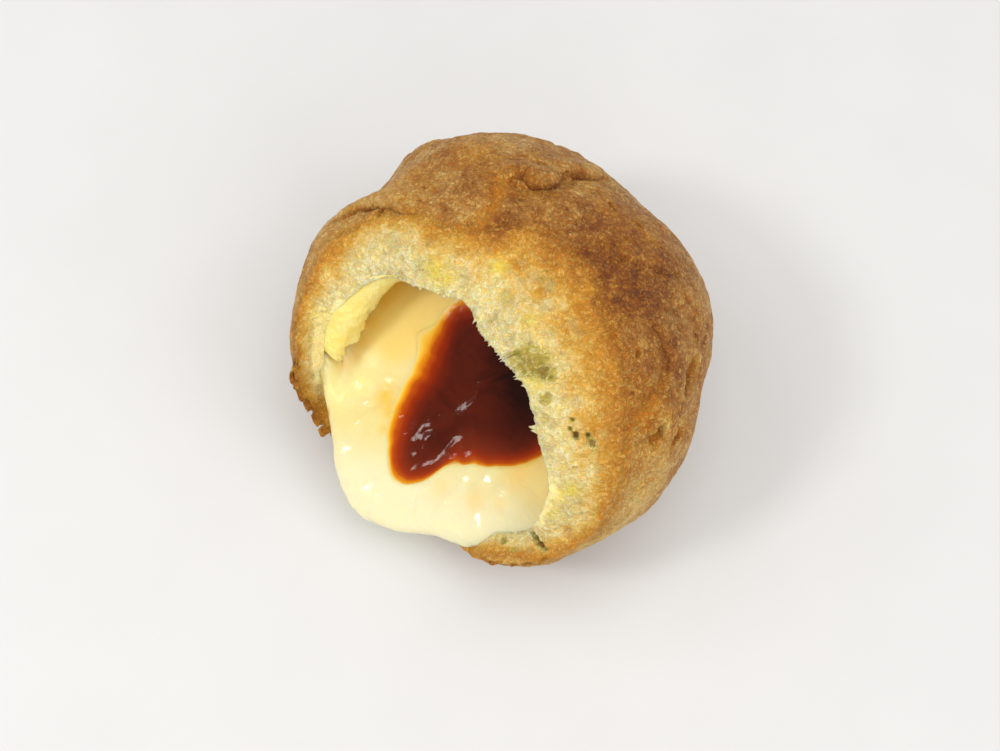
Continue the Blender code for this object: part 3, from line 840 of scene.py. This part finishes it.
def make_custard(material):
    piece, unit, _, _ = sphere_piece("custard_filling", count(CUSTARD_SEGMENTS), count(CUSTARD_RINGS))
    heart = np.array(CUSTARD_HEART)
    # more rings on the upper side, which shows
    share = np.arccos(np.clip(unit[:, 2], -1, 1)) / math.pi
    polar = math.pi * (share - 0.16 * np.sin(2 * math.pi * share))
    flat = np.maximum(np.hypot(unit[:, 0], unit[:, 1]), 1e-9)
    unit[:, :2] *= (np.sin(polar) / flat)[:, None]
    unit[:, 2] = np.cos(polar)
    near, far = np.zeros(len(unit)), np.full(len(unit), WIDTH)
    for _ in range(HALVINGS):
        middle = (near + far) / 2
        inside = custard_depth(heart + unit * middle[:, None]) > 0
        near, far = np.where(inside, middle, near), np.where(inside, far, middle)
    points = heart + unit * near[:, None]
    set_points(piece, points)
    x, y = points[:, 0], points[:, 1]
    front = front_share(x, y)
    free = smooth_step(points[:, 2], 4 * MM, 9 * MM)
    beside_caramel = smooth_step(caramel_distance(x, y), 0.3 * MM, 4 * MM)
    relief = stirred_relief(points) * front * free + 0.15 * MM * layered_noise(points, 14 * MM, 81, 2)
    points = raise_points(piece, points, relief * beside_caramel)
    points[:, 2] += bump_field(x, y, CUSTARD_BUMPS) * MM * beside_caramel * free
    points = level_flats(points, CUSTARD_FLATS, 0.03 * MM)
    set_points(piece, points)
    offset = points - BELLY
    round_angle, away_angle = bite_angles(offset / np.linalg.norm(offset, axis=1)[:, None])
    # Painted shade: amber tint on the custard just under the crumb's inner edge.
    under = smooth_step(away_angle - around(CRUMB_EDGE, round_angle), -8, 3) * (1 - front)
    under *= smooth_step(y, -24 * MM, -12 * MM)
    set_attributes(piece, front=front, pale=smooth_step(-(0.35 * x + y), 22 * MM, 36 * MM), under=under,
                   cream=np.clip(bump_field(x, y, PAINTED_LIGHT_PLACES), 0, 1),
                   stain=np.clip(bump_field(x, y, STAINS_AND_SHADE), 0, 1),
                   caramel_edge=caramel_distance(x, y) / MM)
    finish_piece(piece, "custard", material)


# ---- Caramel ----------------------------------------------------------------------------------------
def caramel_distance(x, y):
    """How far a place lies outside the caramel's outline, negative inside it."""
    dx, dy = x - CARAMEL_MIDDLE[0], y - CARAMEL_MIDDLE[1]
    return np.hypot(dx, dy) - around(CARAMEL_OUTLINE, np.degrees(np.arctan2(dy, dx))) * MM


def make_caramel(material):
    piece, unit, _, turn = sphere_piece("caramel_pool", count(CARAMEL_SEGMENTS), count(CARAMEL_RINGS))
    spread = np.hypot(unit[:, 0], unit[:, 1])
    thin_side = np.exp(-(turn_from(turn, 150) / 62) ** 4)
    fringe = 0.9 * thin_side + 2.4 * np.exp(-(turn_from(turn, 131) / 7) ** 2)
    outline = around(CARAMEL_OUTLINE, turn) + 0.5 * layered_noise(ring_of(turn, 15.0), 3.0, 92, 2) + fringe
    x = CARAMEL_MIDDLE[0] + outline * MM * spread * np.cos(np.radians(turn))
    y = CARAMEL_MIDDLE[1] + outline * MM * spread * np.sin(np.radians(turn))
    from_edge = outline * (1 - spread)
    front = np.exp(-(turn_from(turn, 255) / 62) ** 4)
    rise = (0.60 - 0.35 * thin_side) * MM * (1 - np.exp(-from_edge / (1.0 + 3.0 * thin_side)))
    rise += 0.32 * MM * front * np.exp(-((from_edge - 3.0) / 2.2) ** 2) * smooth_step(from_edge, 0, 2.6)
    points = np.stack([x, y, custard_plane(x, y)], axis=1)
    upper = unit[:, 2] > 0
    wrinkles = 0.35 * MM * np.abs(layered_noise(points, 2.2 * MM, 94, 2)) * front
    wrinkles *= smooth_step(from_edge, 1.0, 2.5) * np.exp(-((from_edge - 4.0) / 3.5) ** 2)
    wrinkles *= np.exp(-(np.hypot(x + 15.5 * MM, y + 19.0 * MM) / (6 * MM)) ** 2)
    waves = 0.06 * MM * layered_noise(points, 6 * MM, 91, 2) * smooth_step(from_edge, 0.5, 3)
    lumps = bump_field(x, y, CARAMEL_LUMPS) * MM
    points[:, 2] += np.where(upper, rise + waves + wrinkles + lumps, CARAMEL_SINK * unit[:, 2])
    points[upper] = level_flats(points[upper], CARAMEL_FLATS, 0.08 * MM)
    set_points(piece, points)
    reach = 4.2 + 4.6 * thin_side
    thin = 0.12 * np.clip(from_edge / np.maximum(fringe, 0.15), 0, 1)
    thick = np.clip(from_edge - fringe, 0, None) / reach
    set_attributes(piece, thickness=np.where(upper, np.clip(thin + thick, 0, 1.4), 1.0),
                   shaded=smooth_step(x, -9 * MM, 5 * MM) * smooth_step(y, -24 * MM, -16 * MM),
                   front=front * np.exp(-((from_edge - 2.5) / 3.0) ** 2))
    finish_piece(piece, "caramel_sauce", material)


# ---- Materials --------------------------------------------------------------------------------------
def set_inputs(node, inputs):
    """Constant or linked inputs of a node."""
    for key, value in inputs.items():
        if isinstance(value, bpy.types.NodeSocket):
            node.id_data.links.new(value, node.inputs[key])
        else:
            node.inputs[key].default_value = value


def add_node(tree, kind, inputs=None, **settings):
    """A new node with its settings and constant inputs."""
    item = tree.nodes.new(kind)
    for key, value in settings.items():
        setattr(item, key, value)
    set_inputs(item, inputs or {})
    return item


def tree_of(*values):
    """The node tree that the first socket among the values belongs to."""
    return next(value.id_data for value in values if isinstance(value, bpy.types.NodeSocket))


def math_node(operation, a, b=0.0, clamp=False):
    return add_node(tree_of(a, b), "ShaderNodeMath", {0: a, 1: b}, operation=operation,
                    use_clamp=clamp).outputs[0]


def plus(a, b, clamp=False):
    return math_node("ADD", a, b, clamp)


def minus(a, b, clamp=False):
    return math_node("SUBTRACT", a, b, clamp)


def times(a, b, clamp=False):
    return math_node("MULTIPLY", a, b, clamp)


def map_range(value, low, high, to_low=0.0, to_high=1.0):
    inputs = {"Value": value, "From Min": low, "From Max": high, "To Min": to_low, "To Max": to_high}
    return add_node(tree_of(value), "ShaderNodeMapRange", inputs, interpolation_type="SMOOTHSTEP").outputs[0]


def mix_numbers(share, a, b):
    return add_node(tree_of(share), "ShaderNodeMix", {"Factor": share, "A": a, "B": b}).outputs[0]


def mix_colours(share, a, b, blend="MIX"):
    return add_node(tree_of(share, a), "ShaderNodeMix", {0: share, 6: a, 7: b}, data_type="RGBA",
                    blend_type=blend).outputs[2]


def ramp(value, stops):
    """Colour ramp through (position, (red, green, blue)) stops."""
    item = add_node(tree_of(value), "ShaderNodeValToRGB", {0: value})
    elements = item.color_ramp.elements
    while len(elements) < len(stops):
        elements.new(0.5)
    for element, (position, colour) in zip(elements, stops):
        element.position = position
        element.color = (*colour, 1)
    return item.outputs[0]


def attribute(tree, name):
    return add_node(tree, "ShaderNodeAttribute", attribute_name=name).outputs["Fac"]


def noise(vector, scale, detail=2.0, roughness=0.5, distortion=0.0):
    inputs = {"Vector": vector, "Scale": scale, "Detail": detail, "Roughness": roughness,
              "Distortion": distortion}
    return add_node(tree_of(vector), "ShaderNodeTexNoise", inputs).outputs["Fac"]


def new_material(name):
    material = bpy.data.materials.new(name)
    material.use_nodes = True
    tree = material.node_tree
    shader = tree.nodes["Principled BSDF"]
    vector = add_node(tree, "ShaderNodeTexCoord").outputs["Object"]
    return material, tree, shader, vector


def connect(shader, colour, roughness, height, distance):
    """Colour, roughness and bump of a material."""
    set_inputs(shader, {"Base Color": colour, "Roughness": roughness})
    bump = {"Height": height, "Distance": distance, "Strength": 1.0}
    set_inputs(shader, {"Normal": add_node(shader.id_data, "ShaderNodeBump", bump).outputs[0]})


def let_light_in(shader, weight, radius, scale):
    """Light that goes in and comes out beside: share, reach of red, green and blue, and size in mm."""
    set_inputs(shader, {"Subsurface Weight": weight, "Subsurface Radius": radius,
                        "Subsurface Scale": scale * MM})


def new_group(name, inputs, outputs):
    """Empty shader node group with float, colour or vector sockets."""
    group = bpy.data.node_groups.new(name, "ShaderNodeTree")
    for label, kind, default in inputs:
        socket = group.interface.new_socket(label, in_out="INPUT", socket_type=kind)
        if default is not None:
            socket.default_value = default
    for label, kind in outputs:
        group.interface.new_socket(label, in_out="OUTPUT", socket_type=kind)
    source = group.nodes.new("NodeGroupInput")
    sink = group.nodes.new("NodeGroupOutput")
    return group, source.outputs, sink.inputs


def wobbled(vector, scale, reach):
    """The vector, pushed about by noise of the given scale, by up to about half the reach."""
    group = tree_of(vector)
    cloud = add_node(group, "ShaderNodeTexNoise", {"Vector": vector, "Scale": scale, "Detail": 2.0})
    push = cloud.outputs["Color"]
    steps = (("SUBTRACT", {1: (0.5, 0.5, 0.5)}), ("SCALE", {"Scale": reach}), ("ADD", {1: vector}))
    for operation, inputs in steps:
        push = add_node(group, "ShaderNodeVectorMath", {0: push, **inputs}, operation=operation).outputs[0]
    return push


def baked_grain_group():
    """Grain of baked dough: light on wisps and granules, mottle and a height, from 0 to about 1."""
    group, given, result = new_group(
        "baked_grain",
        (("Vector", "NodeSocketVector", None), ("Granule Scale", "NodeSocketFloat", 1150.0),
         ("Wisp Scale", "NodeSocketFloat", 520.0), ("Mottle Scale", "NodeSocketFloat", 300.0)),
        (("Light", "NodeSocketFloat"), ("Wisps", "NodeSocketFloat"), ("Mottle", "NodeSocketFloat"),
         ("Height", "NodeSocketFloat")),
    )
    moved = wobbled(given["Vector"], 700.0, 1.3 * MM)
    wisps = []
    for factor, width in ((1.0, 0.065), (2.3, 0.08)):
        scale = times(given["Wisp Scale"], factor)
        field = noise(moved, scale, 2.0, 0.55, 1.3)
        ridge = math_node("ABSOLUTE", minus(field, 0.5))
        wisps.append(map_range(ridge, 0.0, width, 1.0, 0.0))
    cells = add_node(group, "ShaderNodeTexVoronoi", {"Vector": moved, "Scale": given["Granule Scale"]})
    granule = map_range(cells.outputs["Distance"], 0.05, 0.75, 1.0, 0.0)
    light = plus(times(wisps[0], 0.34), times(wisps[1], 0.30))
    light = plus(light, times(granule, 0.36))
    mottle = noise(given["Vector"], given["Mottle Scale"], 4.0, 0.62, 0.7)
    group.links.new(light, result["Light"])
    group.links.new(times(wisps[0], wisps[0]), result["Wisps"])
    group.links.new(map_range(mottle, 0.32, 0.68), result["Mottle"])
    fine = noise(moved, 2300.0, 2.0, 0.6)
    group.links.new(plus(light, times(fine, 0.25)), result["Height"])
    return group


def edge_distance(vector, scale):
    """Distance to the nearest wall between cells."""
    return add_node(tree_of(vector), "ShaderNodeTexVoronoi", {"Vector": vector, "Scale": scale},
                    feature="DISTANCE_TO_EDGE").outputs["Distance"]


def crumb_web_group():
    """Web of torn bubbles: how much a place is on a thin wall, and how much in an open bubble."""
    group, given, result = new_group(
        "crumb_web", (("Vector", "NodeSocketVector", None), ("Bubble Scale", "NodeSocketFloat", 420.0)),
        (("Wall", "NodeSocketFloat"), ("Bubble", "NodeSocketFloat")),
    )
    moved = wobbled(given["Vector"], 420.0, 2.4 * MM)
    gap = edge_distance(moved, given["Bubble Scale"])
    cells = add_node(group, "ShaderNodeTexVoronoi", {"Vector": moved, "Scale": given["Bubble Scale"]})
    own = add_node(group, "ShaderNodeSeparateColor", {"Color": cells.outputs["Color"]}).outputs[0]
    chosen = map_range(own, 0.45, 0.60)
    fine = edge_distance(moved, times(given["Bubble Scale"], 2.3))
    fine_wall = times(map_range(fine, 0.0, 0.10, 1.0, 0.0), 0.6)
    wall = math_node("MAXIMUM", map_range(gap, 0.0, 0.09, 1.0, 0.0), fine_wall)
    group.links.new(wall, result["Wall"])
    group.links.new(times(map_range(gap, 0.05, 0.30), chosen), result["Bubble"])
    return group


def use_group(tree, group, inputs):
    return add_node(tree, "ShaderNodeGroup", inputs, node_tree=group).outputs


def choux_material(name, grain_group, web_group):
    material, tree, shader, vector = new_material(name)
    grain = use_group(tree, grain_group, {"Vector": vector})
    soft = use_group(tree, grain_group, {"Vector": vector, "Granule Scale": 800.0, "Wisp Scale": 330.0})
    web = use_group(tree, web_group, {"Vector": vector})
    light = map_range(grain["Light"], 0.10, 0.80)
    soft_light = map_range(soft["Light"], 0.08, 0.72)
    mottle = minus(grain["Mottle"], 0.5)
    blotch = noise(vector, 105.0, 3.0, 0.6, 0.6)
    relief = attribute(tree, "relief")
    from_rim = attribute(tree, "from_rim")

    brown = plus(attribute(tree, "browning"), times(mottle, 0.22))
    brown = plus(brown, map_range(blotch, 0.30, 0.70, -0.08, 0.08))
    brown = plus(brown, times(minus(0.5, light), 0.37))
    brown = plus(brown, times(soft["Wisps"], 0.07))
    # Painted shade: browner in the low places of the relief, paler on its raised grains.
    brown = minus(brown, times(relief, 0.38))
    fleck = map_range(noise(vector, 620.0, 3.0, 0.55), 0.62, 0.72)
    brown = plus(brown, times(fleck, 0.20))
    warm_crust = ramp(brown, (
        (0.0, (0.86, 0.60, 0.19)), (0.25, (0.70, 0.385, 0.075)), (0.46, (0.52, 0.215, 0.024)),
        (0.64, (0.38, 0.125, 0.009)), (0.82, (0.25, 0.066, 0.006)), (1.0, (0.12, 0.032, 0.007)),
    ))
    tan_crust = ramp(brown, (
        (0.0, (0.84, 0.61, 0.28)), (0.25, (0.68, 0.42, 0.150)), (0.46, (0.51, 0.265, 0.075)),
        (0.64, (0.36, 0.150, 0.030)), (0.82, (0.23, 0.078, 0.014)), (1.0, (0.12, 0.036, 0.010)),
    ))
    tan = plus(map_range(from_rim, 3.0, 22.0, 0.0, 0.45),
               map_range(noise(vector, 85.0, 3.0, 0.6, 0.5), 0.35, 0.65, -0.40, 0.35), clamp=True)
    tan = minus(tan, attribute(tree, "orange"), clamp=True)
    crust_colour = mix_colours(tan, warm_crust, tan_crust)
    orange_share = times(attribute(tree, "orange"), map_range(light, 0.0, 1.0, 0.85, 0.35))
    crust_colour = mix_colours(orange_share, crust_colour, (0.60, 0.205, 0.012, 1))

    wander = minus(noise(vector, 220.0, 4.0, 0.62), 0.5)
    rim = plus(from_rim, times(wander, 10.0))
    place = math_node("DIVIDE", plus(rim, CRUMB_BAND), CRUMB_BAND + 3.0, clamp=True)
    low = ramp(place, (
        (0.0, (0.87, 0.69, 0.26)), (0.28, (0.85, 0.62, 0.165)), (0.50, (0.73, 0.39, 0.032)),
        (0.70, (0.57, 0.225, 0.011)), (0.90, (0.46, 0.165, 0.010)),
    ))
    high = ramp(place, (
        (0.0, (1.0, 0.91, 0.57)), (0.28, (0.98, 0.85, 0.45)), (0.50, (0.95, 0.71, 0.24)),
        (0.70, (0.82, 0.48, 0.095)), (0.90, (0.68, 0.36, 0.065)),
    ))
    in_crumb = map_range(rim, -7.0, -3.0, 1.0, 0.0)
    torn_light = mix_numbers(in_crumb, light, soft_light)
    torn = mix_colours(torn_light, low, high)
    bubble = times(times(web["Bubble"], in_crumb), 0.55)
    torn = mix_colours(bubble, torn, (0.74, 0.60, 0.23, 1))
    wall = times(times(web["Wall"], in_crumb), 0.38)
    torn = mix_colours(wall, torn, (1.0, 0.93, 0.62, 1))
    hollow = times(attribute(tree, "open_bubble"), 0.4)
    torn = mix_colours(hollow, torn, (0.84, 0.70, 0.32, 1))
    torn = mix_colours(times(attribute(tree, "yellow"), 0.7), torn, (0.94, 0.72, 0.060, 1))
    # Painted shade in the torn bubbles and cracks: the crumb's translucent yellow-green, darkened to brown
    # where deepest.
    hole = attribute(tree, "hole")
    hole_low = ramp(hole, (
        (0.0, (0.82, 0.66, 0.22)), (0.6, (0.58, 0.45, 0.085)), (1.0, (0.29, 0.125, 0.018)),
    ))
    strands = times(soft["Wisps"], map_range(hole, 0.6, 1.0, 0.9, 0.1))
    hole_colour = mix_colours(strands, hole_low, (0.88, 0.78, 0.34, 1))
    torn = mix_colours(map_range(hole, 0.05, 0.6), torn, hole_colour)
    shade = map_range(relief, -0.8, 0.3, 0.84, 1.04)
    torn = mix_colours(1.0, torn, shade, "MULTIPLY")
    colour = mix_colours(map_range(rim, -1.5, 4.5), torn, crust_colour)
    skin_colour = mix_colours(grain["Mottle"], (0.95, 0.72, 0.18, 1), (0.97, 0.80, 0.30, 1))
    lining, soaked = attribute(tree, "lining"), attribute(tree, "soaked")
    colour = mix_colours(lining, colour, skin_colour)
    colour = mix_colours(times(soaked, 0.85), colour, (0.94, 0.78, 0.34, 1))
    smooth = math_node("MAXIMUM", lining, soaked)

    roughness = minus(0.58, times(light, 0.22))
    height = mix_numbers(in_crumb, grain["Height"], soft["Height"])
    raised = minus(times(web["Wall"], 0.5), times(web["Bubble"], 0.7))
    height = plus(height, times(raised, in_crumb))
    height = times(height, minus(1.0, times(smooth, 0.8)))
    connect(shader, colour, roughness, height, 0.50 * MM)
    set_inputs(shader, {"Specular IOR Level": 0.18})
    let_light_in(shader, 0.15, (1.0, 0.5, 0.15), 1.2)
    return material, shader


def crust_material(grain_group, web_group):
    """Browned crust, a little lighter where it turns away."""
    material, shader = choux_material("choux_crust_baked", grain_group, web_group)
    set_inputs(shader, {"Sheen Weight": 0.10, "Sheen Roughness": 0.4, "Sheen Tint": (1.0, 0.82, 0.55, 1)})
    return material


def crumb_material(grain_group, web_group):
    """Moist crumb, which lets more light through."""
    material, shader = choux_material("choux_crumb_torn", grain_group, web_group)
    set_inputs(shader, {"Specular IOR Level": 0.30})
    let_light_in(shader, 0.40, (1.0, 0.5, 0.15), 1.8)
    return material


def skin_material():
    """Thin moist skin of the crumb's inside, with faint upright fibres."""
    material, tree, shader, vector = new_material("choux_inner_skin")
    cloud = noise(vector, 300.0, 3.0, 0.6, 0.5)
    colour = ramp(cloud, ((0.3, (0.93, 0.72, 0.145)), (0.7, (0.97, 0.81, 0.30))))
    upright = add_node(tree, "ShaderNodeMapping", {"Vector": vector, "Scale": (1.0, 1.0, 0.25)}).outputs[0]
    fibre = noise(upright, 1100.0, 3.0, 0.6, 0.5)
    connect(shader, colour, map_range(fibre, 0.3, 0.7, 0.38, 0.55), fibre, 0.35 * MM)
    let_light_in(shader, 0.30, (1.0, 0.8, 0.3), 1.0)
    return material


def custard_material():
    material, tree, shader, vector = new_material("custard_cream")
    front = attribute(tree, "front")
    cloud = noise(vector, 160.0, 3.0, 0.5, 0.4)
    inner = ramp(cloud, ((0.3, (0.83, 0.66, 0.24)), (0.7, (0.87, 0.72, 0.32))))
    outer = ramp(cloud, ((0.3, (0.80, 0.66, 0.235)), (0.7, (0.83, 0.73, 0.345))))
    outer = mix_colours(attribute(tree, "pale"), outer, (0.84, 0.785, 0.50, 1))
    # Painted amber shade where the custard lies under the crumb's edge.
    inner = mix_colours(times(attribute(tree, "under"), 0.60), inner, (1.0, 0.66, 0.085, 1))
    colour = mix_colours(front, inner, outer)
    # Painted light: brighter custard where the crumb's shade falls.
    colour = mix_colours(attribute(tree, "cream"), colour, (1.0, 0.83, 0.36, 1))
    stain = map_range(plus(attribute(tree, "caramel_edge"), cloud), 0.2, 1.6, 1.0, 0.0)
    colour = mix_colours(times(stain, 0.7), colour, (0.88, 0.58, 0.06, 1))
    # Caramel stains, and painted amber shade beside the inner skin's torn edge.
    colour = mix_colours(attribute(tree, "stain"), colour, (0.95, 0.52, 0.030, 1))
    fine = noise(vector, 520.0, 3.0, 0.55, 0.8)
    roughness = minus(0.45, times(front, 0.34))
    connect(shader, colour, roughness, times(fine, front), 0.07 * MM)
    let_light_in(shader, 0.8, (1.0, 0.75, 0.35), 2.2)
    return material


def caramel_material():
    material, tree, shader, vector = new_material("caramel_glaze")
    cloud = noise(vector, 200.0, 3.0, 0.5)
    depth = attribute(tree, "thickness")
    wander = times(minus(cloud, 0.5), 0.30)
    depth = plus(depth, times(wander, map_range(depth, 0.05, 0.3)))
    colour = ramp(depth, (
        (0.0, (0.88, 0.68, 0.24)), (0.06, (0.90, 0.56, 0.060)), (0.14, (0.80, 0.30, 0.006)),
        (0.26, (0.50, 0.080, 0.001)), (0.45, (0.29, 0.023, 0.001)), (0.70, (0.145, 0.012, 0.002)),
        (0.95, (0.090, 0.010, 0.003)),
    ))
    clouds = noise(vector, 110.0, 3.0, 0.55, 0.8)
    dark = times(map_range(depth, 0.55, 1.0),
                 plus(attribute(tree, "shaded"), map_range(clouds, 0.35, 0.7, -0.25, 0.35)), clamp=True)
    colour = mix_colours(dark, colour, (0.018, 0.0024, 0.0007, 1))
    warm = times(attribute(tree, "front"), 0.35)
    colour = mix_colours(warm, colour, (0.30, 0.040, 0.010, 1))
    fine = noise(vector, 420.0, 3.0, 0.6, 0.6)
    roughness = map_range(fine, 0.3, 0.7, 0.06, 0.12)
    connect(shader, colour, roughness, fine, 0.08 * MM)
    set_inputs(shader, {"Specular IOR Level": 0.13})
    return material


def floor_material():
    material, _, shader, vector = new_material("studio_floor")
    grain = noise(vector, 40.0, 2.0, 0.5)
    colour = ramp(grain, ((0.3, (0.675, 0.67, 0.662)), (0.7, (0.69, 0.685, 0.677))))
    connect(shader, colour, map_range(grain, 0.0, 1.0, 0.55, 0.6), grain, 0.02 * MM)
    return material


# ---- Floor, light and camera ------------------------------------------------------------------------
def make_floor():
    bm = bmesh.new()
    bmesh.ops.create_grid(bm, x_segments=8, y_segments=8, size=FLOOR_HALF_WIDTH)
    floor = new_object("studio_floor", bm)
    floor.data.materials.append(floor_material())


def stand(name, data, place, target):
    """A light or camera at a place, looking at a target."""
    item = bpy.data.objects.new(name, data)
    item.location = Vector(place)
    item.rotation_euler = (Vector(target) - item.location).to_track_quat("-Z", "Y").to_euler()
    bpy.context.scene.collection.objects.link(item)
    return item


def make_area_light(name, place, distance, size, power, colour):
    data = bpy.data.lights.new(name, "AREA")
    data.shape = "DISK"
    data.size = size
    data.energy = power
    data.color = colour
    stand(name, data, BELLY + direction(*place) * distance, BELLY)


def make_world():
    world = bpy.data.worlds.new("studio_air")
    world.use_nodes = True
    background = world.node_tree.nodes["Background"]
    background.inputs["Color"].default_value = AIR_COLOUR
    background.inputs["Strength"].default_value = AIR_STRENGTH
    bpy.context.scene.world = world


def make_camera():
    data = bpy.data.cameras.new("camera")
    data.lens = CAMERA_LENS
    data.sensor_width = CAMERA_SENSOR_WIDTH
    data.clip_start = 0.01
    bpy.context.scene.camera = stand("camera", data, CAMERA_PLACE, CAMERA_TARGET)


baked_grain, crumb_web = baked_grain_group(), crumb_web_group()
crust = crust_material(baked_grain, crumb_web)
make_crust(crust)
make_crumb(crumb_material(baked_grain, crumb_web))
make_inner_skin(skin_material())
make_flakes(crust)
make_custard(custard_material())
make_caramel(caramel_material())
make_floor()
for light in LIGHTS:
    make_area_light(*light)
make_world()
make_camera()
bpy.context.scene.view_settings.view_transform = "Standard"
